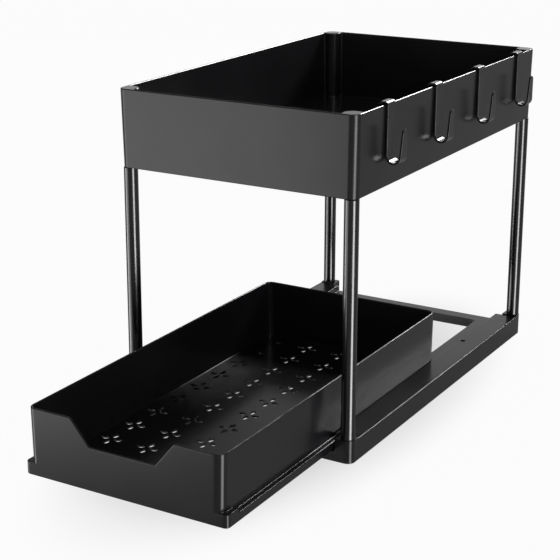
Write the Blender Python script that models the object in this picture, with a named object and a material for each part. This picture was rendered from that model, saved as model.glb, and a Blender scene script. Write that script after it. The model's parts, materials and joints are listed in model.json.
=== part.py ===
"""Two-tier storage shelf for a cupboard.

A moulded base frame carries a pull-out drawer on two rails and four tube posts. The posts carry an open
upper tray, and four hooks hang on its right rim. Metres, +Z up, and the drawer pulls out towards -Y. The
origin lies on the floor, under the middle of the shelf as it stands with its drawer pulled out.
"""

import math

import bmesh
import bpy
from mathutils import Vector

# Whole shelf
WIDTH = 0.240
DEPTH = 0.400
HEIGHT = 0.312
CORNER_RADIUS = 0.007
DRAFT_SLOPE = 0.0165
FIT_GAP = 0.0003
CUT_OVERRUN = 0.003

# Round shapes
CORNER_STEPS = 5
ROUND_SIDES = 32
SMOOTH_BELOW = math.radians(32)

# Foot pads
PAD_DIAMETER = 0.012
PAD_THICKNESS = 0.0018
PAD_PROUD = 0.0008
PAD_INSET = 0.010

# Base frame
LEDGE_TOP = 0.0102
CHANNEL_HEIGHT = 0.0093
LIP_THICKNESS = 0.002
CORNER_RISE = 0.001
CORNER_LENGTH = 0.013
RAIL_WIDTH = 0.0165
LIP_REACH = 0.0072
LIP_END = 0.014
LIP_SLOT = 0.0047
LIP_SLOT_FROM_REAR = 0.112
LEDGE_REACH = 0.0295
FRAME_END = 0.016
OPENING_RADIUS = 0.004
FRAME_WALL = 0.0022
RIB_THICKNESS = 0.002
SIDE_CELLS = 7
END_CELLS = 4
SOLID_CORNER = 0.019

# Posts and the spigots that they push onto
POST_DIAMETER = 0.013
POST_WALL = 0.001
POST_INSET = 0.007
SPIGOT_LENGTH = 0.014
SPIGOT_CHAMFER = 0.001
CORE_DIAMETER = 0.006

# Upper tray
TRAY_HEIGHT = 0.0725
TRAY_FLARE = 0.0006
TRAY_RADIUS = 0.008
TRAY_WALL = 0.002
TRAY_FLOOR = 0.002
COLUMN_DIAMETER = 0.0186
COLUMN_CAP = 0.004

# Drawer
DRAWER_HEIGHT = 0.0616
DRAWER_WALL = 0.002
DRAWER_FLOOR = 0.002
DRAWER_RADIUS = 0.008
DRAWER_REAR_GAP = 0.0048
DRAWER_PULLED_OUT = 0.170
LIP_GAP = 0.0004
FLANGE_GAP = 0.0023
FLANGE_PLAY = 0.0013
FLANGE_RADIUS = 0.0045
FLANGE_GROOVE = 0.0022
FLANGE_SKIN = 0.0018
EAR_RISE = 0.0005
EAR_LENGTH = 0.0165

# Notch in the drawer's front
NOTCH_TOP_WIDTH = 0.103
NOTCH_BOTTOM_WIDTH = 0.066
NOTCH_DEPTH = 0.0225
NOTCH_FILLET = 0.005

# Clover perforations in the drawer's floor
CLOVER_PITCH_X = 0.039
CLOVER_PITCH_Y = 0.036
CLOVER_MARGIN = 0.013
PETAL_LENGTH = 0.0086
PETAL_WIDTH = 0.0044
PETAL_OFFSET = 0.0068
PETAL_SIDES = 6

# Hooks
HOOK_COUNT = 4
HOOK_WIDTH = 0.014
HOOK_TIP_WIDTH = 0.0075
HOOK_THICKNESS = 0.002
HOOK_PLAY = 0.0031
HOOK_LIFT = 0.0005
HOOK_ARCH_RADIUS = 0.002
HOOK_INNER_LEG = 0.012
HOOK_DROP = 0.0517
HOOK_REACH = 0.0104
HOOK_LEG = 0.0240
HOOK_LEAN = math.radians(2.5)
HOOK_FROM_FRONT = 0.05905
HOOK_FROM_REAR = 0.04605
HOOK_BEND_STEPS = 12
HOOK_LEG_STEPS = 3

# Places that several pieces share
HALF_X = WIDTH / 2
HALF_Y = DEPTH / 2
POST_X = HALF_X - POST_INSET
POST_Y = HALF_Y - POST_INSET
POST_CORNERS = (("front_left", -1, -1), ("front_right", 1, -1), ("rear_left", -1, 1), ("rear_right", 1, 1))
CHANNEL_X = HALF_X - RAIL_WIDTH
LIP_X = CHANNEL_X - LIP_REACH
OPENING_X = CHANNEL_X - LEDGE_REACH
LIP_Y = HALF_Y - LIP_END
LIP_BOTTOM = LEDGE_TOP + CHANNEL_HEIGHT
RAIL_TOP = LIP_BOTTOM + LIP_THICKNESS
CORNER_TOP = RAIL_TOP + CORNER_RISE
TRAY_BOTTOM = HEIGHT - TRAY_HEIGHT
RIM_X = HALF_X + TRAY_FLARE
RIM_Y = HALF_Y + TRAY_FLARE
SPIGOT_RADIUS = POST_DIAMETER / 2 - POST_WALL - FIT_GAP
DRAWER_BOTTOM = LEDGE_TOP + FIT_GAP
DRAWER_TOP = DRAWER_BOTTOM + DRAWER_HEIGHT
DRAWER_FRONT_SHUT = -LIP_Y - FIT_GAP - EAR_LENGTH
DRAWER_LENGTH = HALF_Y - DRAWER_REAR_GAP - DRAWER_FRONT_SHUT
DRAWER_FRONT = DRAWER_FRONT_SHUT - DRAWER_PULLED_OUT
FLANGE_X = CHANNEL_X - FLANGE_GAP
FLANGE_TOP = LIP_BOTTOM - FLANGE_PLAY
EAR_TOP = RAIL_TOP + EAR_RISE
HOOK_MOUTH = TRAY_WALL + HOOK_PLAY

# Colours, roughness and metallic value of each kind of piece
FRAME_BLACK = ((0.016, 0.016, 0.017, 1), 0.38, 0)
TRAY_BLACK = ((0.014, 0.014, 0.015, 1), 0.42, 0)
DRAWER_BLACK = ((0.014, 0.014, 0.015, 1), 0.40, 0)
POST_BLACK = ((0.010, 0.010, 0.011, 1), 0.16, 0)
HOOK_BLACK = ((0.013, 0.013, 0.014, 1), 0.35, 0)
PAD_GREY = ((0.045, 0.045, 0.048, 1), 0.85, 0)


def clear_scene():
    for obj in list(bpy.data.objects):
        bpy.data.objects.remove(obj, do_unlink=True)


def material_of(name, look):
    """A Principled material from a colour, a roughness and a metallic value."""
    colour, roughness, metallic = look
    material = bpy.data.materials.new(name)
    material.use_nodes = True
    shader = material.node_tree.nodes["Principled BSDF"]
    shader.inputs["Base Color"].default_value = colour
    shader.inputs["Roughness"].default_value = roughness
    shader.inputs["Metallic"].default_value = metallic
    return material


def arc(centre, radius, start, end, steps):
    """Points on a circular arc, both ends included."""
    angles = [start + (end - start) * step / steps for step in range(steps + 1)]
    return [(centre[0] + radius * math.cos(a), centre[1] + radius * math.sin(a)) for a in angles]


def rounded_outline(half_x, half_y, radius, shift_y=0):
    """Anticlockwise outline of a rectangle with round corners."""
    points = []
    for quarter, (side_x, side_y) in enumerate(((1, 1), (-1, 1), (-1, -1), (1, -1))):
        centre = (side_x * (half_x - radius), side_y * (half_y - radius) + shift_y)
        start = quarter * math.pi / 2
        points += arc(centre, radius, start, start + math.pi / 2, CORNER_STEPS)
    return points


def circle(radius, centre=(0, 0), sides=ROUND_SIDES):
    return arc(centre, radius, 0, math.tau * (sides - 1) / sides, sides - 1)


def object_from(name, bm):
    bmesh.ops.recalc_face_normals(bm, faces=bm.faces)
    mesh = bpy.data.meshes.new(name)
    bm.to_mesh(mesh)
    bm.free()
    obj = bpy.data.objects.new(name, mesh)
    bpy.context.scene.collection.objects.link(obj)
    return obj


def add_loft(bm, rings):
    """A closed body through rings of equally many points, with a flat cap on the first and the last."""
    loops = [[bm.verts.new(point) for point in ring] for ring in rings]
    for low, high in zip(loops, loops[1:]):
        for i, vertex in enumerate(low):
            after = (i + 1) % len(low)
            bm.faces.new((vertex, low[after], high[after], high[i]))
    bm.faces.new(reversed(loops[0]))
    bm.faces.new(loops[-1])


def loft(name, levels):
    """A body from (outline, z) levels, lowest first."""
    bm = bmesh.new()
    add_loft(bm, [[(x, y, z) for x, y in outline] for outline, z in levels])
    return object_from(name, bm)


def lofts(name, bodies):
    """Several separate bodies in one mesh, each a list of (outline, z) levels."""
    bm = bmesh.new()
    for levels in bodies:
        add_loft(bm, [[(x, y, z) for x, y in outline] for outline, z in levels])
    return object_from(name, bm)


def along_y(name, profile, low_y, high_y):
    """A body with one (x, z) profile from low_y to high_y."""
    bm = bmesh.new()
    add_loft(bm, [[(x, y, z) for x, z in profile] for y in (high_y, low_y)])
    return object_from(name, bm)


def block(low, high):
    """The levels of a box between two corners."""
    outline = [(low[0], low[1]), (high[0], low[1]), (high[0], high[1]), (low[0], high[1])]
    return [(outline, low[2]), (outline, high[2])]


def both_sides(low, high):
    """A box on the right and its mirror image on the left, as the levels of each."""
    return [block(low, high), block((-high[0], low[1], low[2]), (-low[0], high[1], high[2]))]


def combine(target, tool, operation):
    """A Boolean with a tool that stays out of renders."""
    tool.hide_render = True
    tool.display_type = "WIRE"
    modifier = target.modifiers.new(tool.name, "BOOLEAN")
    modifier.operation = operation
    modifier.solver = "EXACT"
    modifier.object = tool


def cut(target, tool):
    combine(target, tool, "DIFFERENCE")


def join(target, tool):
    combine(target, tool, "UNION")


def settle(obj):
    """Puts the evaluated shape in place of the object's modifiers."""
    graph = bpy.context.evaluated_depsgraph_get()
    shape = bpy.data.meshes.new_from_object(obj.evaluated_get(graph))
    obj.modifiers.clear()
    obj.data = shape
    shape.name = obj.name


def finish(obj, material, parent, place):
    """Gives a piece its material and its place under its parent, and shades its round faces smooth."""
    obj.data.materials.append(material)
    obj.data.shade_smooth()
    obj.data.set_sharp_from_angle(angle=SMOOTH_BELOW)
    obj.parent = parent
    obj.location = place


def remove_tools():
    for obj in [obj for obj in bpy.data.objects if obj.display_type == "WIRE"]:
        bpy.data.objects.remove(obj, do_unlink=True)


def spigot(x, y, root, tip):
    """The levels of a round peg with a chamfered tip, above or below its root."""
    direction = 1 if tip > root else -1
    round_part = circle(SPIGOT_RADIUS, (x, y))
    narrow_part = circle(SPIGOT_RADIUS - SPIGOT_CHAMFER, (x, y))
    levels = [(round_part, root), (round_part, tip - direction * SPIGOT_CHAMFER), (narrow_part, tip)]
    return levels if direction > 0 else levels[::-1]


def drawer_half_width(z):
    """Half the outside width of the drawer's box, which widens upwards, at a height."""
    return LIP_X - LIP_GAP + DRAFT_SLOPE * (z - RAIL_TOP)


def cells(low, high, count):
    """Equal spans between low and high with a rib between neighbours."""
    span = (high - low - (count - 1) * RIB_THICKNESS) / count
    starts = [low + i * (span + RIB_THICKNESS) for i in range(count)]
    return [(start, start + span) for start in starts]


def base_pockets():
    """The hollows under the rails, the ledges and the end bars, with ribs between them."""
    below = PAD_PROUD - CUT_OVERRUN
    under_ledge = LEDGE_TOP - FRAME_WALL
    under_rail = RAIL_TOP - FRAME_WALL
    pockets = []
    for low_y, high_y in cells(-HALF_Y + SOLID_CORNER, HALF_Y - SOLID_CORNER, SIDE_CELLS):
        ledge_low = (OPENING_X + FRAME_WALL, low_y, below)
        rail_low = (CHANNEL_X + FRAME_WALL, low_y, below)
        pockets += both_sides(ledge_low, (CHANNEL_X, high_y, under_ledge))
        pockets += both_sides(rail_low, (HALF_X - FRAME_WALL, high_y, under_rail))
    end_low = HALF_Y - FRAME_END + FRAME_WALL
    end_high = HALF_Y - FRAME_WALL
    for low_x, high_x in cells(-OPENING_X, OPENING_X, END_CELLS):
        pockets.append(block((low_x, end_low, below), (high_x, end_high, under_ledge)))
        pockets.append(block((low_x, -end_high, below), (high_x, -end_low, under_ledge)))
    return lofts("pocket_cutter", pockets)


def base_frame(parent):
    """The ring frame: ledges that carry the drawer, rails with lips over it, and a spigot in each corner."""
    above = CORNER_TOP + CUT_OVERRUN
    outline = rounded_outline(HALF_X, HALF_Y, CORNER_RADIUS)
    frame = loft("base_frame", [(outline, PAD_PROUD), (outline, CORNER_TOP)])
    past_x, past_y = HALF_X + CUT_OVERRUN, HALF_Y + CUT_OVERRUN
    corner_y = HALF_Y - CORNER_LENGTH
    rail_space = block((-past_x, -corner_y, RAIL_TOP), (past_x, corner_y, above))
    cut(frame, lofts("rail_top_cutter", [rail_space]))
    drawer_way = [
        (-CHANNEL_X, LEDGE_TOP),
        (CHANNEL_X, LEDGE_TOP),
        (CHANNEL_X, LIP_BOTTOM),
        (LIP_X, LIP_BOTTOM),
        (LIP_X, above),
        (-LIP_X, above),
        (-LIP_X, LIP_BOTTOM),
        (-CHANNEL_X, LIP_BOTTOM),
    ]
    cut(frame, along_y("drawer_way_cutter", drawer_way, -past_y, past_y))
    mid_channel = (LEDGE_TOP + LIP_BOTTOM) / 2
    lip_ends = [
        block((-CHANNEL_X, LIP_Y, mid_channel), (CHANNEL_X, past_y, above)),
        block((-CHANNEL_X, -past_y, mid_channel), (CHANNEL_X, -LIP_Y, above)),
    ]
    cut(frame, lofts("lip_end_cutter", lip_ends))
    opening = rounded_outline(OPENING_X, HALF_Y - FRAME_END, OPENING_RADIUS)
    cut(frame, loft("opening_cutter", [(opening, -CUT_OVERRUN), (opening, above)]))
    cut(frame, base_pockets())
    slot_x = (LIP_X + CHANNEL_X) / 2
    slot_y = HALF_Y - LIP_SLOT_FROM_REAR
    slot_low = (slot_x - LIP_SLOT / 2, slot_y - LIP_SLOT / 2, mid_channel)
    slot_high = (slot_x + LIP_SLOT / 2, slot_y + LIP_SLOT / 2, above)
    cut(frame, lofts("lip_slot_cutter", both_sides(slot_low, slot_high)))
    recess_top = PAD_THICKNESS + FIT_GAP
    recesses = [
        [(circle(PAD_DIAMETER / 2 + FIT_GAP, pad_place(corner)), z) for z in (-CUT_OVERRUN, recess_top)]
        for corner in POST_CORNERS
    ]
    cut(frame, lofts("pad_recess_cutter", recesses))
    root = CORNER_TOP - FRAME_WALL
    tip = CORNER_TOP + SPIGOT_LENGTH
    spigots = [spigot(side_x * POST_X, side_y * POST_Y, root, tip) for _, side_x, side_y in POST_CORNERS]
    join(frame, lofts("base_spigots", spigots))
    settle(frame)
    finish(frame, material_of("frame_black", FRAME_BLACK), parent, (0, 0, 0))


def pad_place(corner):
    _, side_x, side_y = corner
    return (side_x * (HALF_X - PAD_INSET), side_y * (HALF_Y - PAD_INSET))


def foot_pads(parent):
    rubber = material_of("pad_grey", PAD_GREY)
    outline = circle(PAD_DIAMETER / 2)
    for corner in POST_CORNERS:
        pad = loft(f"foot_pad_{corner[0]}", [(outline, 0), (outline, PAD_THICKNESS)])
        finish(pad, rubber, parent, (*pad_place(corner), 0))


def posts(parent):
    """Four steel tubes, each pushed over a spigot of the base and one of the tray."""
    steel = material_of("post_black", POST_BLACK)
    low = CORNER_TOP + FIT_GAP
    high = TRAY_BOTTOM - FIT_GAP
    outer = circle(POST_DIAMETER / 2)
    inner = circle(POST_DIAMETER / 2 - POST_WALL)
    for name, side_x, side_y in POST_CORNERS:
        bm = bmesh.new()
        rings = [
            [bm.verts.new((x, y, z)) for x, y in outline]
            for outline, z in ((outer, low), (outer, high), (inner, high), (inner, low))
        ]
        for ring, following in zip(rings, rings[1:] + rings[:1]):
            for i in range(ROUND_SIDES):
                after = (i + 1) % ROUND_SIDES
                bm.faces.new((ring[i], ring[after], following[after], following[i]))
        finish(object_from(f"post_{name}", bm), steel, parent, (side_x * POST_X, side_y * POST_Y, 0))


def tray_outline(z, inset):
    """The tray's outline at a height, drawn in by an inset. Its sides slope in towards the bottom."""
    drawn_in = inset - TRAY_FLARE + DRAFT_SLOPE * (HEIGHT - z)
    return rounded_outline(HALF_X - drawn_in, HALF_Y - drawn_in, TRAY_RADIUS - inset)


def upper_tray(parent):
    """The open tray, with a round column in each corner that ends in a spigot below."""
    tray = loft("upper_tray", [(tray_outline(z, 0), z) for z in (TRAY_BOTTOM, HEIGHT)])
    floor_top = TRAY_BOTTOM + TRAY_FLOOR
    above = HEIGHT + CUT_OVERRUN
    cavity = loft("tray_cavity", [(tray_outline(z, TRAY_WALL), z) for z in (floor_top, above)])
    places = [(side_x * POST_X, side_y * POST_Y) for _, side_x, side_y in POST_CORNERS]
    column_ends = (TRAY_BOTTOM, above + CUT_OVERRUN)
    columns = [[(circle(COLUMN_DIAMETER / 2, place), z) for z in column_ends] for place in places]
    cut(cavity, lofts("tray_columns", columns))
    cut(tray, cavity)
    root = TRAY_BOTTOM + TRAY_FLOOR
    tip = TRAY_BOTTOM - SPIGOT_LENGTH
    join(tray, lofts("tray_spigots", [spigot(x, y, root, tip) for x, y in places]))
    core_ends = (tip - CUT_OVERRUN, HEIGHT - COLUMN_CAP)
    cores = [[(circle(CORE_DIAMETER / 2, place), z) for z in core_ends] for place in places]
    cut(tray, lofts("tray_cores", cores))
    settle(tray)
    finish(tray, material_of("tray_black", TRAY_BLACK), parent, (0, 0, 0))


def drawer_outline(z, inset):
    """The outline of the drawer's box at a height, with its front at y = 0, drawn in by an inset."""
    half_y = DRAWER_LENGTH / 2
    return rounded_outline(drawer_half_width(z) - inset, half_y - inset, DRAWER_RADIUS - inset, half_y)


def drawer_flanges():
    """The band along the drawer's foot that runs in the rails, and the ears that stop on them."""
    half_y = DRAWER_LENGTH / 2
    outline = rounded_outline(FLANGE_X, half_y, FLANGE_RADIUS, half_y)
    band = loft("drawer_flanges", [(outline, DRAWER_BOTTOM), (outline, EAR_TOP)])
    past_x, past_y = FLANGE_X + CUT_OVERRUN, DRAWER_LENGTH + CUT_OVERRUN
    behind_ears = block((-past_x, EAR_LENGTH, FLANGE_TOP), (past_x, past_y, EAR_TOP + CUT_OVERRUN))
    cut(band, lofts("flange_top_cutter", [behind_ears]))
    return band


def flange_grooves():
    """Grooves that keep the flanges thin walled, open below."""
    outer_x = FLANGE_X - FLANGE_SKIN
    low = (outer_x - FLANGE_GROOVE, EAR_LENGTH, DRAWER_BOTTOM - CUT_OVERRUN)
    high = (outer_x, DRAWER_LENGTH - DRAWER_RADIUS, FLANGE_TOP - FLANGE_SKIN)
    return lofts("flange_groove_cutter", both_sides(low, high))


def notch_profile():
    """The notch in the drawer's front, as an (x, z) outline with round shoulders that runs past the rim."""
    bottom_z = DRAWER_TOP - NOTCH_DEPTH
    slope = math.atan2(NOTCH_DEPTH, (NOTCH_TOP_WIDTH - NOTCH_BOTTOM_WIDTH) / 2)
    shoulder_x = NOTCH_TOP_WIDTH / 2 + NOTCH_FILLET * math.tan(slope / 2)
    centre = (shoulder_x, DRAWER_TOP - NOTCH_FILLET)
    shoulder = arc(centre, NOTCH_FILLET, math.pi / 2 + slope, math.pi / 2, CORNER_STEPS)
    right = [(NOTCH_BOTTOM_WIDTH / 2, bottom_z), *shoulder, (shoulder_x, DRAWER_TOP + CUT_OVERRUN)]
    left = [(-x, z) for x, z in reversed(right)]
    return right + left


def petal(centre_x, centre_y, long_x):
    """The outline of one oval petal, long along X or along Y."""
    reach_x, reach_y = (PETAL_LENGTH, PETAL_WIDTH) if long_x else (PETAL_WIDTH, PETAL_LENGTH)
    unit = circle(1, sides=PETAL_SIDES)
    if not long_x:
        unit = [(-y, x) for x, y in unit]
    return [(centre_x + x * reach_x / 2, centre_y + y * reach_y / 2) for x, y in unit]


def centred_row(span, pitch, margin):
    """Places at a pitch, centred on zero, as many as fit in a span less a margin at each end."""
    count = int((span - 2 * margin) / pitch) + 1
    return [(i - (count - 1) / 2) * pitch for i in range(count)]


def clover_cutter():
    """Four petals round each place of the floor's grid."""
    floor_width = 2 * (drawer_half_width(DRAWER_BOTTOM) - DRAWER_WALL)
    floor_length = DRAWER_LENGTH - 2 * DRAWER_WALL
    ends = (DRAWER_BOTTOM - CUT_OVERRUN, DRAWER_BOTTOM + DRAWER_FLOOR + CUT_OVERRUN)
    petals = []
    for x in centred_row(floor_width, CLOVER_PITCH_X, CLOVER_MARGIN):
        for row_y in centred_row(floor_length, CLOVER_PITCH_Y, CLOVER_MARGIN):
            y = row_y + DRAWER_LENGTH / 2
            for side in (-1, 1):
                along_x = petal(x + side * PETAL_OFFSET, y, True)
                across = petal(x, y + side * PETAL_OFFSET, False)
                petals += [[(outline, z) for z in ends] for outline in (along_x, across)]
    return lofts("clover_cutter", petals)


def drawer(parent):
    """The pull-out drawer, built with its front at y = 0 and placed by its location."""
    body = loft("drawer", [(drawer_outline(z, 0), z) for z in (DRAWER_BOTTOM, DRAWER_TOP)])
    join(body, drawer_flanges())
    floor_top = DRAWER_BOTTOM + DRAWER_FLOOR
    inside = [(drawer_outline(z, DRAWER_WALL), z) for z in (floor_top, DRAWER_TOP + CUT_OVERRUN)]
    cut(body, loft("drawer_cavity", inside))
    cut(body, along_y("notch_cutter", notch_profile(), -CUT_OVERRUN, DRAWER_WALL + CUT_OVERRUN))
    cut(body, flange_grooves())
    cut(body, clover_cutter())
    settle(body)
    finish(body, material_of("drawer_black", DRAWER_BLACK), parent, (0, DRAWER_FRONT, 0))


def hook_line():
    """The middle of a hook's strip as (x, z) points from the rim's outer top edge, inner leg first."""
    half = HOOK_THICKNESS / 2
    strap_x = FIT_GAP + half
    leg_x = FIT_GAP - HOOK_MOUTH - half
    top_z = HOOK_LIFT + half
    radius = HOOK_ARCH_RADIUS
    bend = HOOK_REACH / 2 + half
    bend_centre = (strap_x + bend, -HOOK_DROP + half + bend)
    line = [(leg_x, -HOOK_INNER_LEG)]
    line += arc((leg_x + radius, top_z - radius), radius, math.pi, math.pi / 2, CORNER_STEPS)
    line += arc((strap_x - radius, top_z - radius), radius, math.pi / 2, 0, CORNER_STEPS)
    line += arc(bend_centre, bend, -math.pi, -HOOK_LEAN, HOOK_BEND_STEPS)
    rise = Vector((math.sin(HOOK_LEAN), math.cos(HOOK_LEAN)))
    foot = Vector(line[-1])
    tip_radius = HOOK_TIP_WIDTH / 2
    straight = HOOK_LEG / math.cos(HOOK_LEAN) - tip_radius
    for step in range(1, HOOK_LEG_STEPS + 1):
        line.append(tuple(foot + rise * straight * step / HOOK_LEG_STEPS))
    shoulder = Vector(line[-1])
    for step in range(1, CORNER_STEPS):
        line.append(tuple(shoulder + rise * tip_radius * math.sin(step * math.pi / 2 / CORNER_STEPS)))
    return line


def hook_widths(line):
    """The strip's width at each point: full as far as the bend, then tapering to the round tip."""
    lowest = min(range(len(line)), key=lambda i: line[i][1])
    shoulder = len(line) - CORNER_STEPS
    travelled = [0.0]
    for before, here in zip(line[lowest:], line[lowest + 1 : shoulder + 1]):
        travelled.append(travelled[-1] + (Vector(here) - Vector(before)).length)
    taper = [HOOK_WIDTH + (HOOK_TIP_WIDTH - HOOK_WIDTH) * d / travelled[-1] for d in travelled]
    tip = [HOOK_TIP_WIDTH * math.cos(step * math.pi / 2 / CORNER_STEPS) for step in range(1, CORNER_STEPS)]
    return [HOOK_WIDTH] * lowest + taper + tip


def hook_sections():
    """The four corners of the strip at each point of its line."""
    line = [Vector(point) for point in hook_line()]
    sections = []
    for i, (point, width) in enumerate(zip(line, hook_widths(line))):
        along = (line[min(i + 1, len(line) - 1)] - line[max(i - 1, 0)]).normalized()
        side = Vector((along.y, -along.x)) * HOOK_THICKNESS / 2
        outer, inner = point + side, point - side
        corners = ((outer, -1), (outer, 1), (inner, 1), (inner, -1))
        sections.append([(at.x, across * width / 2, at.y) for at, across in corners])
    return sections


def hook_place(number):
    """How far along the rim a hook hangs, in an even row from the front hook to the rear one."""
    first = -HALF_Y + HOOK_FROM_FRONT
    last = HALF_Y - HOOK_FROM_REAR
    return first + (last - first) * number / (HOOK_COUNT - 1)


def hooks(parent):
    plastic = material_of("hook_black", HOOK_BLACK)
    for number in range(HOOK_COUNT):
        bm = bmesh.new()
        add_loft(bm, hook_sections())
        place = (RIM_X, hook_place(number), HEIGHT)
        finish(object_from(f"hook_{number + 1}", bm), plastic, parent, place)


def shelf_centre():
    """The empty that carries every piece, in the middle of the base, placed so that the origin is central."""
    hook_end = RIM_X + max(x for section in hook_sections() for x, _, _ in section)
    centre = bpy.data.objects.new("shelf_centre", None)
    bpy.context.scene.collection.objects.link(centre)
    centre.location = ((RIM_X - hook_end) / 2, -(RIM_Y + DRAWER_FRONT) / 2, 0)
    return centre


def main():
    clear_scene()
    centre = shelf_centre()
    base_frame(centre)
    foot_pads(centre)
    posts(centre)
    upper_tray(centre)
    drawer(centre)
    hooks(centre)
    remove_tools()


main()
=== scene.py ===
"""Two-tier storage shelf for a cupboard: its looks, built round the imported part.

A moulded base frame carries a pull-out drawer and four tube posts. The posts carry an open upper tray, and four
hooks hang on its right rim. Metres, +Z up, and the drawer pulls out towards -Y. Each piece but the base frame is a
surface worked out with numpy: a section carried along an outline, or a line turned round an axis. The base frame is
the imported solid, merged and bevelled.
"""

import json
import math

import bmesh
import bpy
import numpy as np
from mathutils import Matrix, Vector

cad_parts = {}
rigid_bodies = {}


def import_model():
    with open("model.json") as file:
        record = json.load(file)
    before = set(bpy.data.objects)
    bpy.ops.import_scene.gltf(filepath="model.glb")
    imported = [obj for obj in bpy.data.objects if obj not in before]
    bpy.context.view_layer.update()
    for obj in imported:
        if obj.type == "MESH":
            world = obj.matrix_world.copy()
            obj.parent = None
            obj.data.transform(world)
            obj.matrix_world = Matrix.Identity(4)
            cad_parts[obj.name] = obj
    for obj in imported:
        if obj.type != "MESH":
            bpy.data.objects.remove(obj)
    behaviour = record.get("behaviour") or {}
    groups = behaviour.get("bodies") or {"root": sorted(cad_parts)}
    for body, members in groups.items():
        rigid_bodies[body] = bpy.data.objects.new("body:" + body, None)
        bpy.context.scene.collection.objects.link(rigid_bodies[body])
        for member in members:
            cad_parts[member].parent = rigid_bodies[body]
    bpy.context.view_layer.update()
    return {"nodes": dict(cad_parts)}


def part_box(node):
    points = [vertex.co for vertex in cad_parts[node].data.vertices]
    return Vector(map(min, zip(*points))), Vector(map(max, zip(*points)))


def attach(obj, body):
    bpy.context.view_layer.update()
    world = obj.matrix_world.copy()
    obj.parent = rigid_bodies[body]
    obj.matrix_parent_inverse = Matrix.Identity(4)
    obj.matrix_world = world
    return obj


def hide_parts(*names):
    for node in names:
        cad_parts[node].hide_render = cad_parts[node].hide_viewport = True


bl_info = {
    "name": "Two-tier storage shelf",
    "version": (1, 0, 0),
    "blender": (4, 5, 0),
    "location": "View3D > Sidebar > Shelf",
    "description": "Builds a two-tier storage shelf with its materials and a plain studio",
    "category": "Add Mesh",
}

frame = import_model()
BOX = {name: np.array(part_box(name)) for name in frame["nodes"]}
MIDDLE = BOX["base_frame"].mean(0)[:2]
CORNERS = ("front_left", "front_right", "rear_left", "rear_right")
HOOKS = ("hook_1", "hook_2", "hook_3", "hook_4")
SUPPORT = 0.0003  # how far from a rounded edge the point stands that keeps the flat beside it flat
WELD = 1e-6  # points nearer than this are one point
FLOOR_FILLET = 0.0004  # radius where the walls of the tray and the drawer meet their floors
COLUMN_FILLET = 0.0015  # radius where a wall of the tray meets a corner column
TUBE_WALL = 0.001
TUBE_END_RADIUS = 0.00035
SPIGOT_RADII = 0.003, 0.0052  # the bore and the outside of the hollow spigots under the tray
SPIGOT_EDGE = 0.0004  # radius on the spigots' edges
PAD_BULGE = 0.0004  # how much further a foot pad's side stands out at half its height
PAD_FLAT = 0.0012  # from a pad's widest point to the points that keep its two faces flat
BASE_MERGE = 1e-5  # the base's points nearer than this are one point
BASE_FLAT = math.radians(0.3)  # faces of the base that meet at less than this are one face
BASE_EDGE = math.radians(32)  # edges of the base sharper than this are rounded
BASE_FOOT = 0.002  # below this height the base's edges are those of its ribs and of the pads' recesses
LONG_EDGE = 0.05  # an edge of the base longer than this takes the full bevel
GROOVE = 0.0018, 0.0040  # the two sides of the groove under a runner, from the runner's outside
BAND_SEAM = 0.0004  # size of the small slope between the top of the runner band and the drawer's wall
BAND_LEAST_RADIUS = 0.0004  # the band's corners stay this round when the band is drawn in
EAR_STEP = 0.0003  # over this length the band's top steps up to the ear
FLOOR_BORDER = 0.0022  # from the fillet round the drawer's floor to the perforated part
HOLE_EDGE = 0.00015  # radius on the perforations' edges
HOLE_SUPPORT = 0.0002  # from that edge to the point that keeps the floor flat
BACKDROP = 0.96  # strength of the white behind and round the object
# Each lamp's name, place, aim, width and height in metres, and what it lights. The panels and the front lamp reach
# below the floor, so that the posts' stripes and the front faces are lit down to their feet.
LAMPS = (
    ("panel_left", (-1.27, -0.79, -0.25), (0.0, 0.0, 0.15), 0.44, 1.20, "slim"),
    ("panel_right", (1.38, -0.64, -0.28), (0.0, 0.0, 0.15), 0.62, 1.20, "slim"),
    ("corner_left", (-1.27, -0.79, -0.25), (0.0, 0.0, 0.15), 0.44, 1.20, "mouldings"),
    ("corner_right", (1.38, -0.64, 0.02), (0.0, 0.0, 0.15), 0.62, 1.80, "mouldings"),
    ("front", (-1.48, -2.02, -0.34), (0.0, 0.0, 0.15), 1.30, 1.10, "pieces"),
    ("rim_upper", (0.28, 1.77, 1.32), (0.0, 0.1, 0.20), 1.10, 0.45, "upper"),
    ("rim_lower", (0.20, 1.79, 1.35), (0.0, 0.1, 0.20), 1.10, 0.45, "lower"),
    ("rim_rail", (0.62, 1.92, 1.17), (0.1, 0.0, 0.02), 0.60, 0.45, "rail"),
    ("rear_left", (-1.10, 1.90, 0.55), (0.0, 0.1, 0.20), 1.40, 0.80, "all"),
    ("top", (0.0, 0.0, 2.20), (0.0, 0.01, 0.20), 1.40, 1.40, "all"),
)
# What the lamps' groups hold: the pieces whose names start so. A lamp for "all" lights the floor too.
GROUPS = {
    "pieces": ("",),
    "slim": ("tube", "rim_hook"),
    "mouldings": ("base", "pad", "tray", "pull_out_drawer"),
    "upper": ("tray",),
    "lower": ("pull_out_drawer", "tube", "rim_hook"),
    "rail": ("base", "pad"),
}


# Numbers for shapes


def linear(hex_code):
    """A linear RGBA colour from an sRGB hex value such as #1a2b3c."""
    srgb = np.array([int(hex_code[i : i + 2], 16) for i in (1, 3, 5)]) / 255
    rgb = np.where(srgb <= 0.04045, srgb / 12.92, ((srgb + 0.055) / 1.055) ** 2.4)
    return (*map(float, rgb), 1.0)


def turn(start, end, steps):
    """Evenly spaced angles from start to end, both included, in radians from degrees."""
    return np.radians(np.linspace(start, end, steps + 1))


def circle(angles):
    """The points (cos w, sin w) of the unit circle at the angles w."""
    return np.stack([np.cos(angles), np.sin(angles)], 1)


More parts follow.
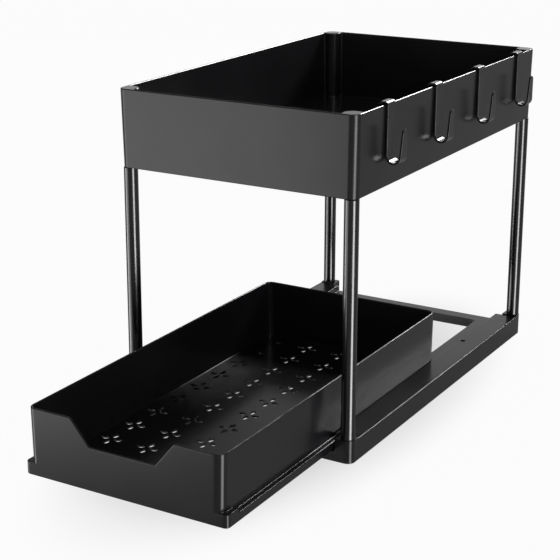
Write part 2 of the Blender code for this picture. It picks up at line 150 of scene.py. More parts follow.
def rounded_line(corners, radii, steps=5):
    """A closed (x, y) outline with each corner rounded.

    At a corner P with unit directions a in and b out, which differ by the turn t, the arc starts at
    P - a r tan(t/2). A point at the angle w along it is start + a r sin w + n r (1 - cos w), with n the normal
    of a on the inside of the turn. A support point lies just before and just after each arc and keeps the flats
    flat.
    """
    corners = np.asarray(corners, float)
    radii = np.broadcast_to(np.asarray(radii, float), len(corners))[:, None, None]
    into = corners - np.roll(corners, 1, 0)
    into /= np.linalg.norm(into, axis=1, keepdims=True)
    out = np.roll(into, -1, 0)
    cross = into[:, 0] * out[:, 1] - into[:, 1] * out[:, 0]
    angle = np.arctan2(np.abs(cross), (into * out).sum(1))[:, None, None]
    inward = np.stack([-into[:, 1], into[:, 0]], 1) * np.sign(cross)[:, None]
    start = corners[:, None] - into[:, None] * radii * np.tan(angle / 2)
    w = angle * np.linspace(0, 1, steps + 1)[None, :, None]
    arcs = start + radii * (into[:, None] * np.sin(w) + inward[:, None] * (1 - np.cos(w)))
    before = arcs[:, :1] - into[:, None] * SUPPORT
    after = arcs[:, -1:] + out[:, None] * SUPPORT
    return np.concatenate([before, arcs, after], 1).reshape(-1, 2)


def edge_section(depth, radius, steps=4):
    """(inset, drop) pairs over a flat rim of a wall of that depth, outer face first: an arc, the flat and an arc."""
    w = turn(0, 90, steps)
    inset, drop = radius * (1 - np.cos(w)), radius * (1 - np.sin(w))
    flat = min(SUPPORT, (depth / 2 - radius) / 2)
    outer = np.stack([np.r_[0, inset, radius + flat], np.r_[radius + SUPPORT, drop, 0]], 1)
    inner = outer[::-1] * (-1, 1) + (depth, 0)
    return np.concatenate([outer, inner])


def box_ring(half_x, half_y, radius, steps, inset=0.0):
    """An anticlockwise outline of a box with round corners, drawn in by an inset, from its right side on."""
    corner = turn(0, 90, steps)
    arc = (radius - inset) * circle(corner)
    return four_corners(arc + (half_x - radius, half_y - radius))


def four_corners(first):
    """A closed outline from the points of its +x +y corner, mirrored into the other three in order."""
    second = (first * (-1, 1))[::-1]
    return np.concatenate([first, second, -first, -second])


# Meshes


def linked(name, data):
    """A new object of the scene with that mesh, lamp or camera."""
    obj = bpy.data.objects.new(name, data)
    bpy.context.scene.collection.objects.link(obj)
    return obj


def strip_faces(rows, columns, close_rows=False):
    """Quads between the rings of a (rows, columns) grid whose columns close on themselves."""
    index = np.arange(rows * columns).reshape(rows, columns)
    if close_rows:
        index = np.concatenate([index, index[:1]])
    after = np.roll(index, -1, 1)
    return np.stack([index[:-1], after[:-1], after[1:], index[1:]], -1).reshape(-1, 4)


def piece(name, bodies, body, material, nodes):
    """Makes one object from (points, faces) bodies, welded and turned outwards, in the place of its nodes."""
    points, faces, count = [], [], 0
    for body_points, body_faces in bodies:
        points.append(np.asarray(body_points, float).reshape(-1, 3))
        faces += [[i + count for i in face] for face in body_faces]
        count += len(points[-1])
    mesh = bpy.data.meshes.new(name)
    mesh.from_pydata(np.concatenate(points).tolist(), [], faces)
    weld(mesh)
    mesh.shade_smooth()
    mesh.materials.append(material)
    obj = linked(name, mesh)
    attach(obj, body)
    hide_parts(*nodes)
    return obj


def weld(mesh):
    """Merges the points that meet, drops faces without area and turns all faces outwards."""
    bm = bmesh.new()
    bm.from_mesh(mesh)
    bmesh.ops.remove_doubles(bm, verts=bm.verts, dist=WELD)
    bmesh.ops.dissolve_degenerate(bm, edges=bm.edges, dist=WELD)
    bmesh.ops.recalc_face_normals(bm, faces=bm.faces)
    bm.to_mesh(mesh)
    bm.free()


def tube_body(rings):
    """A closed body from (V, U, 3) rings whose last ring joins the first, such as a tube with a wall."""
    rows, columns = rings.shape[:2]
    return rings, strip_faces(rows, columns, close_rows=True).tolist()


def capped_body(rings):
    """A closed body from (V, U, 3) rings with a flat face on the first and the last."""
    rows, columns = rings.shape[:2]
    faces = strip_faces(rows, columns).tolist()
    faces.append(list(range(columns))[::-1])
    faces.append(list(range((rows - 1) * columns, rows * columns)))
    return rings, faces


def turned(line, centre, steps):
    """Rings of an (r, z) line turned round a vertical axis: (cx + r cos t, cy + r sin t, z)."""
    t = turn(0, 360, steps)[:-1]
    r, z = line[:, :1], line[:, 1:]
    ring = np.stack([r * np.cos(t), r * np.sin(t), z + 0 * t], -1)
    return ring + (*centre, 0)


def placed(outlines, heights, centre):
    """(V, U, 3) rings from (V, U, 2) outlines, one height each, moved to a centre."""
    outlines = np.asarray(outlines)
    z = np.broadcast_to(np.asarray(heights, float).reshape(len(outlines), -1, 1), (*outlines.shape[:2], 1))
    return np.concatenate([outlines + centre, z], -1)


# Materials


def add(tree, kind, inputs=None, **settings):
    """Adds a shader node with its settings. An input is a socket to link from, or a value."""
    made = tree.nodes.new("ShaderNode" + kind)
    for name, value in settings.items():
        setattr(made, name, value)
    for socket, value in (inputs or {}).items():
        if isinstance(value, bpy.types.NodeSocket):
            tree.links.new(value, made.inputs[socket])
        else:
            made.inputs[socket].default_value = value
    return made


def noise(tree, place, across, detail, rough):
    """The value of a noise whose blotches are that many metres across."""
    inputs = {"Vector": place, "Scale": 1 / across, "Detail": detail, "Roughness": rough}
    return add(tree, "TexNoise", inputs).outputs["Fac"]


def combined(tree, operation, first, second):
    """The result of a Math node with two inputs."""
    return add(tree, "Math", {0: first, 1: second}, operation=operation).outputs[0]


def mapped(tree, value, start, end, first, last, **settings):
    """A value from start to end, mapped to first to last."""
    ends = {"From Min": start, "From Max": end, "To Min": first, "To Max": last}
    return add(tree, "MapRange", {"Value": value, **ends}, **settings).outputs["Result"]


def blank_material(name):
    """A new material with only its output and its Principled shader, and the shader's node."""
    material = bpy.data.materials.new(name)
    material.use_nodes = True
    return material, material.node_tree, material.node_tree.nodes["Principled BSDF"]


def moulded_plastic(name, colour, rough, ior, grain_mm, depth_mm):
    """Injection-moulded plastic: near-black pigment, an eroded mould texture and slow changes of gloss.

    The gloss wanders over some 60 mm, as the melt cooled, and flow marks some 5 mm apart break it up. Both lift the
    pigment by up to a half. The grain is the spark-eroded surface of the mould, depth_mm deep. The real one is some
    0.1 mm across, too fine to show, so it is drawn grain_mm across.
    """
    material, tree, shader = blank_material(name)
    place = add(tree, "TexCoord").outputs["Object"]
    slow = noise(tree, place, 0.060, 2.0, 0.5)
    flow = noise(tree, place, 0.005, 4.0, 0.6)
    grain = noise(tree, place, grain_mm / 1000, 3.0, 0.6)
    marks = add(tree, "Mix", {"Factor": 0.35, "A": slow, "B": flow}, data_type="FLOAT").outputs["Result"]
    lifted = (*(1.5 * part for part in colour[:3]), 1.0)
    tone = add(tree, "Mix", {"Factor": marks, "A": tuple(colour), "B": lifted}, data_type="RGBA")
    bump = add(tree, "Bump", {"Height": grain, "Distance": depth_mm / 1000, "Strength": 1.0})
    tree.links.new(tone.outputs["Result"], shader.inputs["Base Color"])
    tree.links.new(gloss(tree, marks, rough), shader.inputs["Roughness"])
    tree.links.new(bump.outputs["Normal"], shader.inputs["Normal"])
    shader.inputs["IOR"].default_value = ior
    return material


def gloss(tree, pattern, rough):
    """Roughness that wanders to either side of its middle value as the pattern does, which is mostly 0.35 to 0.65."""
    swing = 0.02
    return mapped(tree, pattern, 0.35, 0.65, rough - swing, rough + swing)


def stoved_tube(colour):
    """Drawn steel tube, dipped and stoved in black enamel.

    The enamel flows out before it sets, so the posts are the shiniest pieces and carry narrow, clean stripes of
    light. A faint orange peel some 2 mm across and 4 micrometres deep softens the stripes' edges. The index of
    refraction is above plain enamel's 1.5, matched to the brightness of the stripes in the photograph.
    """
    peel_size, peel_depth = 0.002, 0.000004
    material, tree, shader = blank_material("black_stoved_tube")
    place = add(tree, "TexCoord").outputs["Object"]
    peel = noise(tree, place, peel_size, 1.0, 0.4)
    slow = noise(tree, place, 0.040, 2.0, 0.5)
    bump = add(tree, "Bump", {"Height": peel, "Distance": peel_depth, "Strength": 1.0})
    shader.inputs["Base Color"].default_value = colour
    tree.links.new(gloss(tree, slow, 0.20), shader.inputs["Roughness"])
    tree.links.new(bump.outputs["Normal"], shader.inputs["Normal"])
    shader.inputs["IOR"].default_value = 1.65
    return material


def frame_polypropylene(colour):
    """Polypropylene with carbon black, moulded in an eroded tool: black, with a quiet satin gleam on the rails.

    Polypropylene's index of refraction is about 1.49. The frame and the drawer are a little below it and the hooks
    a little above, matched to how much each mirrors in the photograph.
    """
    return moulded_plastic("frame_polypropylene", colour, 0.24, 1.46, 0.9, 0.001)


def tray_polypropylene(colour):
    """The same plastic, moulded with thin walls: flat, even faces that pass slowly from dark to less dark."""
    return moulded_plastic("tray_polypropylene", colour, 0.25, 1.49, 0.9, 0.001)


def drawer_polypropylene(colour):
    """The same plastic from a smoother tool: a little glossier, so its floor and corners catch clearer light."""
    return moulded_plastic("drawer_polypropylene", colour, 0.22, 1.46, 0.9, 0.001)


def hook_polypropylene(colour):
    """The same plastic from a polished tool: the glossiest mouldings, with bright points on their bends."""
    return moulded_plastic("hook_polypropylene", colour, 0.18, 1.55, 0.7, 0.001)


def foot_rubber(colour):
    """Moulded thermoplastic rubber: dark grey, matt and faintly grained, without any mirror of the room."""
    return moulded_plastic("foot_rubber", colour, 0.80, 1.52, 0.8, 0.03)


# Pieces


def tray_corner(half_x, half_y, post, column, wall_fillet, steps):
    """The +x +y corner of the tray's hollow: a fillet off each wall, and between them the round column.

    The column is a circle of radius R about the post. A fillet of radius f touches the wall x = half_x, so its centre
    is at x = half_x - f, and lies R + f from the post. The path runs a third of its steps on each fillet.
    """
    part = steps // 4
    dx = half_x - wall_fillet - post[0]
    dy = half_y - wall_fillet - post[1]
    reach = column + wall_fillet
    down = math.sqrt(reach**2 - dx**2)
    left = math.sqrt(reach**2 - dy**2)
    first = np.array((post[0] + dx, post[1] - down))
    last = np.array((post[0] - left, post[1] + dy))
    to_post = math.degrees(math.atan2(down, -dx))
    from_post = math.degrees(math.atan2(-dy, left))
    a = turn(0, to_post, part)
    b = turn(to_post - 180, from_post - 180, steps - 2 * part)
    c = turn(from_post, 90, part)
    round_part = np.array(post) + column * circle(b)
    return np.concatenate([first + wall_fillet * circle(a), round_part[1:-1], last + wall_fillet * circle(c)])


def upper_tray(sizes, material):
    """The open tray: one section of floor, wall, rim and wall runs round it, and the corners swell into columns."""
    low, high = BOX["upper_tray"] - (*MIDDLE, 0)
    half, top = high[:2], high[2]
    bottom = top - sizes.tray_height
    post = (BOX["post_rear_right"].mean(0)[:2] - MIDDLE).tolist()
    steps, wall, edge = 32, sizes.wall, sizes.edge_radius

    def outer(z, inset):
        lean = sizes.draft * (top - z)
        return box_ring(half[0] - lean, half[1] - lean, sizes.tray_radius, steps, inset)

    def inner(z, inset):
        lean = sizes.draft * (top - z)
        return four_corners(
            tray_corner(
                half[0] - lean - wall - inset,
                half[1] - lean - wall - inset,
                post,
                sizes.column / 2 + inset,
                COLUMN_FILLET,
                steps,
            )
        )

    foot = bottom + wall
    rim = edge_section(wall, sizes.rim_radius)
    half_rim = len(rim) // 2
    foot_edge = edge_section(wall, edge)[:6][::-1]  # a rim's outer arc, upside down
    levels = [(outer(bottom, inset), bottom + rise) for inset, rise in foot_edge]
    levels += [(outer(top - drop, inset), top - drop) for inset, drop in rim[:half_rim]]
    levels += [(inner(top - drop, inset - wall), top - drop) for inset, drop in rim[half_rim:]]
    for w in turn(0, 90, 6):
        levels.append((inner(foot, FLOOR_FILLET * (1 - math.cos(w))), foot + FLOOR_FILLET * (1 - math.sin(w))))
    levels.append((inner(foot, FLOOR_FILLET + SUPPORT), foot))
    outlines, heights = zip(*levels)
    bodies = [capped_body(placed(outlines, heights, MIDDLE))]
    bore, outside = SPIGOT_RADII
    spigot_top = bottom + wall / 2
    line = rounded_line([(bore, low[2]), (outside, low[2]), (outside, spigot_top), (bore, spigot_top)], SPIGOT_EDGE)
    for corner in CORNERS:
        bodies.append(tube_body(turned(line, BOX[f"post_{corner}"].mean(0)[:2], 48)))
    return piece("tray", bodies, "shelf", material, ["upper_tray"])


def posts(material):
    """Four tubes: the closed section of the wall, with rolled ends, turned round the tube's axis."""
    for corner in CORNERS:
        low, high = BOX[f"post_{corner}"]
        radius = (high[0] - low[0]) / 2
        inner = radius - TUBE_WALL
        corners = [(inner, low[2]), (radius, low[2]), (radius, high[2]), (inner, high[2])]
        line = rounded_line(corners, TUBE_END_RADIUS)
        centre = ((low + high) / 2)[:2]
        name = f"tube_{corner}"
        piece(name, [tube_body(turned(line, centre, 96))], "shelf", material, [f"post_{corner}"])


def pads(material):
    """Four foot pads: a disc's closed half section turned round its axis."""
    for corner in CORNERS:
        low, high = BOX[f"foot_pad_{corner}"]
        radius = (high[0] - low[0]) / 2
        height = high[2]
        w = turn(-90, 90, 8)
        side = np.stack([radius - PAD_BULGE * (1 - np.cos(w)), height / 2 + (height / 2) * np.sin(w)], 1)
        side[:, 1] = np.clip(side[:, 1], 0, height)
        line = np.concatenate([[(radius - PAD_FLAT, 0.0)], side, [(radius - PAD_FLAT, height)]])
        centre = ((low + high) / 2)[:2]
        name = f"pad_{corner}"
        piece(name, [capped_body(turned(line, centre, 48))], "shelf", material, [f"foot_pad_{corner}"])


def hook_line(sizes):
    """The middle line of a hook's strip as (x, z) from the rim's outer top edge, and the strip's width along it.

    It runs up the inner leg, over the rim on two quarter turns, down the strap, round the half turn of the bend
    and up the leaning leg to the round tip. The width narrows evenly from the lowest point to the tip.
    """
    half = sizes.hook_thickness / 2
    gap, lift = 0.0003, 0.0005  # room between the strap and the rim's side, and under the arch
    strap_x = gap + half
    leg_x = gap - sizes.hook_mouth - half
    top_z = lift + half
    arch = 0.002  # radius of the middle line's two quarter turns
    bend = sizes.hook_reach / 2 + half
    lean = math.radians(2.5)  # of the outer leg
    tip_end = 86  # the tip's round stops short of 90 degrees, where its width would be nothing
    centre = np.array((strap_x + bend, -sizes.hook_drop + half + bend))
    up = np.array((math.sin(lean), math.cos(lean)))

    def arc_at(middle, radius, start, end, steps):
        return np.array(middle) + radius * circle(turn(start, end, steps))

    leg = np.stack([np.full(3, leg_x), np.linspace(-sizes.hook_inner_leg, top_z - arch, 4)[:3]], 1)
    over = arc_at((leg_x + arch, top_z - arch), arch, 180, 90, 8)
    down = arc_at((strap_x - arch, top_z - arch), arch, 90, 0, 8)
    strap = np.stack([np.full(5, strap_x), np.linspace(top_z - arch, centre[1], 7)[1:6]], 1)
    turned_part = arc_at(centre, bend, -180, -math.degrees(lean), 24)
    tip_radius = sizes.hook_tip / 2
    length = sizes.hook_leg / math.cos(lean) - tip_radius
    leg_out = turned_part[-1] + up * np.linspace(0, length, 10)[1:, None]
    tip_turn = turn(0, tip_end, 10)[1:]
    tip = leg_out[-1] + up * tip_radius * np.sin(tip_turn)[:, None]
    line = np.concatenate([leg, over, down, strap, turned_part, leg_out, tip])
    body = np.concatenate([leg, over, down, strap, turned_part, leg_out])
    run = np.r_[0, np.cumsum(np.linalg.norm(np.diff(body, axis=0), axis=1))]
    lowest = run[np.argmin(body[:, 1])]
    share = np.clip((run - lowest) / (run[-1] - lowest), 0, 1)
    width = sizes.hook_width + (sizes.hook_tip - sizes.hook_width) * share
    return line, np.r_[width, sizes.hook_tip * np.cos(tip_turn)]


def hooks(sizes, material):
    """Four hooks: a flat strip's section with rounded edges, carried along the hook's line.

    With T the line's direction and N = (T_z, -T_x), a section point (across, through) lies at line + N through, and
    across along the rim.
    """
    line, width = hook_line(sizes)
    along = np.gradient(line, axis=0)
    along /= np.linalg.norm(along, axis=1, keepdims=True)
    normal = np.stack([along[:, 1], -along[:, 0]], 1)
    half = sizes.hook_thickness / 2
    w = turn(0, 90, 4)
    edge = 0.00045  # radius on the strip's edges
    arcs = np.stack([edge * np.cos(w) - edge, edge * np.sin(w) - edge + half], 1)
    quarter = np.concatenate([[(0, 0)], arcs, [(-edge - SUPPORT, half)]])
    other = (quarter * (-1, 1))[::-1]
    section = np.concatenate([quarter[1:], other[:-1], -quarter[1:], -other[:-1]])
    side = np.repeat((1.0, -1.0, 1.0), (len(quarter) - 1, 2 * len(quarter) - 2, len(quarter) - 1))
    across = side * width[:, None] / 2 + section[:, 0] * np.minimum(1, width[:, None] / 2 / (edge + SUPPORT))
    x, z = (line[:, i : i + 1] + normal[:, i : i + 1] * section[:, 1] for i in (0, 1))
    rings = np.stack([x, across, z], -1)
    for name in HOOKS:
        low, high = BOX[name]
        rim = (high[0] - (line[:, 0].max() + half), (low[1] + high[1]) / 2, high[2] - line[:, 1].max() - half)
        piece(name.replace("hook", "rim_hook"), [capped_body(rings + rim)], name, material, [name])


def base(sizes, material):
    """The base frame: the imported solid's own faces, merged and with every edge rounded by a bevel.

    The bevel is edge_radius wide on the long edges. On the short ones it is half of that, so that the bevels of two
    neighbours never meet, and no clamp is needed.
    """
    mesh = frame["nodes"]["base_frame"].data.copy()
    mesh.name = "base"
    bm = bmesh.new()
    bm.from_mesh(mesh)
    bmesh.ops.remove_doubles(bm, verts=bm.verts, dist=BASE_MERGE)
    bmesh.ops.dissolve_limit(bm, angle_limit=BASE_FLAT, verts=bm.verts, edges=bm.edges)
    weight = bm.edges.layers.float.new("bevel_weight_edge")
    for edge in bm.edges:
        if edge.calc_face_angle(0) > BASE_EDGE:
            clear = min(v.co.z for v in edge.verts) > BASE_FOOT
            edge[weight] = 1 if clear and edge.calc_length() > LONG_EDGE else 0.5
    bm.to_mesh(mesh)
    bm.free()
    mesh.materials.clear()
    mesh.materials.append(material)
    obj = linked("base", mesh)
    bevel = obj.modifiers.new("moulded edges", "BEVEL")
    bevel.width = sizes.edge_radius
    bevel.segments = 3
    bevel.limit_method = "WEIGHT"
    bevel.use_clamp_overlap = False
    mesh.shade_smooth()
    even = obj.modifiers.new("flat faces stay flat", "WEIGHTED_NORMAL")
    even.weight = 100
    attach(obj, "shelf")
    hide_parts("base_frame")
    return obj


# Drawer

CELL_STEPS = 12  # along one side of a clover's cell
SPOKE_STEPS = 6  # from the cell's corner to the clover's middle


def cell_lines(places, end):
    """The borders between the clovers' places, halfway between neighbours, and the floor's ends."""
    return np.r_[-end, (places[1:] + places[:-1]) / 2, end]


def border_points(lines):
    """The points along a side of the floor: each cell's side in equal steps."""
    t = np.arange(CELL_STEPS) / CELL_STEPS
    return np.r_[(lines[:-1, None] + np.diff(lines)[:, None] * t).ravel(), lines[-1]]


def clover_floor(places_x, places_y, lines_x, lines_y, sizes, top, bottom):
    """The perforated floor: for each of a cell's four sectors, rings from the sector's outline to its petal.

    A sector is the triangle between the clover's middle c and one side of its cell, walked c - a - b - c, with the
    spokes' points at squared spacing. A petal point is m + d / |d / (half length, half width)|, with m the petal's
    middle and d the way from m to the outline's point. The rings go along the top, over a small round edge, down the
    hole and out along the underside.
    """

    def grid(x, y):
        return np.stack(np.meshgrid(x, y), -1)[:, :, None]

    middle = grid(places_x, places_y)
    low_x, high_x, low_y, high_y = lines_x[:-1], lines_x[1:], lines_y[:-1], lines_y[1:]
    around = np.concatenate([grid(high_x, low_y), grid(high_x, high_y), grid(low_x, high_y), grid(low_x, low_y)], 2)
    after = np.roll(around, -1, 2)
    spoke = (np.arange(SPOKE_STEPS) / SPOKE_STEPS)[:, None] ** 2
    side = (np.arange(CELL_STEPS) / CELL_STEPS)[:, None]
    centre, a, b = (np.broadcast_to(p, around.shape)[:, :, :, None] for p in (middle, around, after))
    back = (1 - np.arange(SPOKE_STEPS) / SPOKE_STEPS)[:, None] ** 2
    outline = np.concatenate([centre + (a - centre) * spoke, a + (b - a) * side, centre + (b - centre) * back], 3)
    heading = np.array([(1, 0), (0, 1), (-1, 0), (0, -1)], float)[:, None]
    halves = np.where(np.abs(heading) > 0, sizes.petal_length / 2, sizes.petal_width / 2)
    petal = centre + heading * sizes.petal_offset
    away = outline - petal
    away = away / np.linalg.norm(away / halves, axis=-1, keepdims=True)
    direction = away / np.linalg.norm(away, axis=-1, keepdims=True)
    hole = petal + away
    edge = HOLE_EDGE
    rings = [(outline, top), (hole + direction * (edge + HOLE_SUPPORT), top)]
    for w in turn(0, 90, 3):
        rings.append((hole + direction * edge * (1 - math.sin(w)), top - edge * (1 - math.cos(w))))
    rings += [(hole, bottom + edge), (hole + direction * edge, bottom), (outline, bottom)]
    flat = np.stack([ring for ring, _ in rings], 3)
    z = np.array([height for _, height in rings])[:, None, None]
    points = np.concatenate([flat, np.broadcast_to(z, (*flat.shape[:-1], 1))], -1)
    count = points.shape[4]
    sectors = points.reshape(-1, len(rings) * count, 3)
    one = strip_faces(len(rings), count)
    faces = (one[None] + (np.arange(len(sectors)) * len(rings) * count)[:, None, None]).reshape(-1, 4)
    return sectors, faces


def notch_line(sizes, half_top, top):
    """The rim's line over the front wall as (x, z) and its slope angle, in 60 steps from left to right.

    Flat, a round shoulder, the slant, a small round corner, the notch's flat bottom, and the same again mirrored. The
    points of these parts are 6, 9, 4, 5 and 13, and the mirrored ones make them 61, one for each point of the front.
    """
    depth, wide, narrow = sizes.notch_depth, sizes.notch_top / 2, sizes.notch_bottom / 2
    slope = math.degrees(math.atan2(depth, wide - narrow))
    radius, foot = 0.005, 0.0015  # of the shoulders and of the corners at the notch's foot
    bend = radius * math.tan(math.radians(slope / 2))
    foot_bend = foot * math.tan(math.radians(slope / 2))
    shoulder_x = wide + bend
    w = turn(90, 90 - slope, 8)
    shoulder = np.stack([-shoulder_x + radius * np.cos(w), top - radius + radius * np.sin(w)], 1)
    w = turn(-90 - slope, -90, 4)
    corner = np.stack([-narrow + foot_bend + foot * np.cos(w), top - depth + foot + foot * np.sin(w)], 1)
    flat = np.stack([np.linspace(-half_top, -shoulder_x, 7)[:-1], np.full(6, top)], 1)
    slant = shoulder[-1] + (corner[0] - shoulder[-1]) * np.linspace(0, 1, 6)[1:-1, None]
    left = np.concatenate([flat, shoulder, slant, corner])
    low = np.stack([np.linspace(corner[-1, 0], -corner[-1, 0], 15)[1:-1], np.full(13, top - depth)], 1)
    line = np.concatenate([left, low, (left * (-1, 1))[::-1]])
    slopes = np.r_[np.zeros(6), -turn(0, slope, 8), np.full(4, -math.radians(slope)), -turn(slope, 0, 4)]
    return line, np.r_[slopes, np.zeros(13), -slopes[::-1]]


def drawer(sizes, material):
    """The drawer: its border section carried round the outline, welded to the perforated floor.

    Every ring has the floor border's points along its sides and an arc of equal steps in each corner. Along the front
    the rim's points follow the notch. Up the outside the rings pass the runner band, whose top steps up into an ear
    at the front of each side.
    """
    low, high = BOX["drawer"]
    bottom, top = low[2], high[2]
    band_x, half_y = (high[0] - low[0]) / 2, (high[1] - low[1]) / 2
    shift = ((low[0] + high[0]) / 2, low[1] + half_y)
    wall, radius = sizes.wall, sizes.drawer_radius
    floor_top = bottom + wall
    corner_steps = 12
    places_x = np.arange(-2, 3) * sizes.clover_pitch_x  # 5 clovers across and 11 along
    places_y = np.arange(-5, 6) * sizes.clover_pitch_y

    def half_x(z):
        return sizes.drawer_half_width + sizes.draft * (z - bottom)

    grid_x = half_x(floor_top) - wall - FLOOR_FILLET - FLOOR_BORDER
    grid_y = half_y - wall - FLOOR_FILLET - FLOOR_BORDER
    lines_x, lines_y = cell_lines(places_x, grid_x), cell_lines(places_y, grid_y)
    across, up = border_points(lines_x), border_points(lines_y)
    n_x, n_y = len(across) - 1, len(up) - 1
    ear_at = int(np.searchsorted(up, -half_y + sizes.ear_length)) - 1
    keys_y = np.array([0, ear_at, ear_at + 1, n_y])
    ear_y = -half_y + sizes.ear_length
    rim_line, rim_slope = notch_line(sizes, half_x(top) - radius, top)
    gap = corner_steps - 1  # points of a corner's arc between the sides' ends
    count = 2 * (n_x + 1) + 2 * (n_y + 1) + 4 * gap

    def joined(sides, corners):
        """A ring's points or values: those of the right side, rear, left side and front, each before its corner."""
        return np.concatenate([part for pair in zip(sides, corners) for part in pair])

    def four_sides(x, y, side_y, rear_x, front_x):
        """The points along a box's right side, rear, left side and front, anticlockwise."""
        return (
            np.stack([np.full(n_y + 1, x), side_y], 1),
            np.stack([rear_x[::-1], np.full(n_x + 1, y)], 1),
            np.stack([np.full(n_y + 1, -x), side_y[::-1]], 1),
            np.stack([front_x, np.full(n_x + 1, -y)], 1),
        )

    def ring(x, y, r, front_x=None, ends=None):
        """One closed ring as (x, y), with an arc of radius r in each corner."""
        straight_x, straight_y = x - r, y - r
        side_y = np.interp(np.arange(n_y + 1), keys_y, [-straight_y, ear_y, ear_y + EAR_STEP, straight_y])
        plain_x = np.linspace(-straight_x, straight_x, n_x + 1)
        fore_x = plain_x if front_x is None else front_x
        if ends is not None:
            fore_x = np.r_[-straight_x, np.linspace(-ends, ends, n_x - 1), straight_x]
        w = turn(0, 90, corner_steps)[1:-1]
        arc = r * circle(w) + (straight_x, straight_y)
        arcs = arc, (arc * (-1, 1))[::-1], -arc, (arc * (1, -1))[::-1]
        return joined(four_sides(x, y, side_y, plain_x, fore_x), arcs)

    def spread(right, rear, front_values, rear_corner, front_corner):
        """Values for a ring's points, from those along its sides and at its corners."""
        sides = right, np.full(n_x + 1, rear), right[::-1], front_values
        at_corners = rear_corner, rear_corner, front_corner, front_corner
        return joined(sides, [np.full(gap, value) for value in at_corners])

    def border():
        """The floor's border, with each of its corners repeated for the ring's arc."""
        x, y = grid_x, grid_y
        corners = (x, y), (-x, y), (-x, -y), (x, -y)
        return joined(four_sides(x, y, up, across, across), [np.full((gap, 2), corner) for corner in corners])

    index = np.arange(n_y + 1)
    in_ear = index <= ear_at
    ear_top, band_top = bottom + sizes.ear_height, bottom + sizes.band_height
    step_top = spread(np.where(in_ear, ear_top, band_top), band_top, np.full(n_x + 1, ear_top), band_top, ear_top)
    groove_run = ~in_ear & (index < n_y - 2)  # the groove ends behind the ear and before the rear corner
    groove = spread(np.where(groove_run, sizes.groove_depth, 0.0), 0.0, np.zeros(n_x + 1), 0.0, 0.0)
    flush = np.r_[1.0, np.zeros(n_x - 1), 1.0]  # 0 along the front, where the band is flush with the wall
    loose = spread(np.ones(n_y + 1), 1.0, flush, 1.0, 1.0)
    flat_x = half_x(ear_top) - radius - 0.0005  # the front's points below the rim end just inside its corners
    rings, heights = [], []

    def level(outline, z):
        rings.append(np.broadcast_to(outline, (count, 2)))
        heights.append(np.broadcast_to(z, count))

    def eased(start, end):
        """The end ring, but along the front the start ring."""
        return start + (end - start) * loose[:, None]

    def band(inset, z):
        level(ring(band_x - inset, half_y - inset, max(sizes.band_radius - inset, BAND_LEAST_RADIUS), ends=flat_x), z)

    edge = sizes.edge_radius
    groove_out, groove_in = GROOVE
    level(border(), bottom)
    band(groove_in, bottom)
    band(groove_in, bottom + groove)
    band(groove_out, bottom + groove)
    band(groove_out, bottom)
    band(edge + SUPPORT, bottom)
    for w in turn(0, 90, 4):
        band(edge * (1 - math.sin(w)), bottom + edge * (1 - math.cos(w)))
    band(0.0, bottom + edge + SUPPORT)
    plain = ring(band_x, half_y, sizes.band_radius, ends=flat_x)
    level(plain, step_top - edge * loose - SUPPORT)
    for w in turn(0, 90, 4):
        inset = edge * (1 - math.cos(w))
        drawn = ring(band_x - inset, half_y - inset, sizes.band_radius, ends=flat_x)
        level(eased(plain, drawn), step_top - edge * (1 - math.sin(w)) * loose)
    drawn = ring(band_x - edge - SUPPORT, half_y - edge - SUPPORT, sizes.band_radius, ends=flat_x)
    level(eased(plain, drawn), step_top)
    box_x = half_x(ear_top)
    box = ring(box_x, half_y, radius, ends=flat_x)
    for off in (BAND_SEAM + SUPPORT, BAND_SEAM):
        wide = ring(box_x + off, half_y + off, radius + off, ends=flat_x)
        wide[:, 1] = np.maximum(wide[:, 1], -half_y)
        level(eased(box, wide), step_top)
    level(box, step_top + BAND_SEAM)
    level(box, step_top + BAND_SEAM + SUPPORT)
    clear = ear_top + 0.001  # the first level above the ears
    level(ring(half_x(clear), half_y, radius, ends=flat_x), clear)

    normal = np.zeros((count, 3))
    normal[:, 2] = 1
    front_part = slice(count - gap - (n_x + 1), count - gap)
    normal[front_part, 0], normal[front_part, 2] = -np.sin(rim_slope), np.cos(rim_slope)
    rim_top = spread(np.full(n_y + 1, top), top, rim_line[:, 1], top, top)
    for inset, drop in edge_section(wall, sizes.rim_radius):
        outline = ring(half_x(top) - inset, half_y - inset, radius - inset, front_x=rim_line[:, 0])
        level(outline - normal[:, :2] * drop, rim_top - normal[:, 2] * drop)
    inside = half_x(floor_top) - wall
    for w in turn(0, 90, 6):
        inset = FLOOR_FILLET * (1 - math.cos(w))
        level(
            ring(inside - inset, half_y - wall - inset, radius - wall - inset),
            floor_top + FLOOR_FILLET * (1 - math.sin(w)),
        )
    inset = FLOOR_FILLET + SUPPORT
    level(ring(inside - inset, half_y - wall - inset, radius - wall - inset), floor_top)
    level(border(), floor_top)
    wall_points = placed(np.array(rings), np.array(heights), shift)
    floor_points, floor_faces = clover_floor(places_x, places_y, lines_x, lines_y, sizes, floor_top, bottom)
    floor_points = floor_points + (*shift, 0)
    bodies = [(wall_points, strip_faces(len(rings), count).tolist()), (floor_points, floor_faces.tolist())]
    return piece("pull_out_drawer", bodies, "drawer", material, ["drawer"])


# Stage


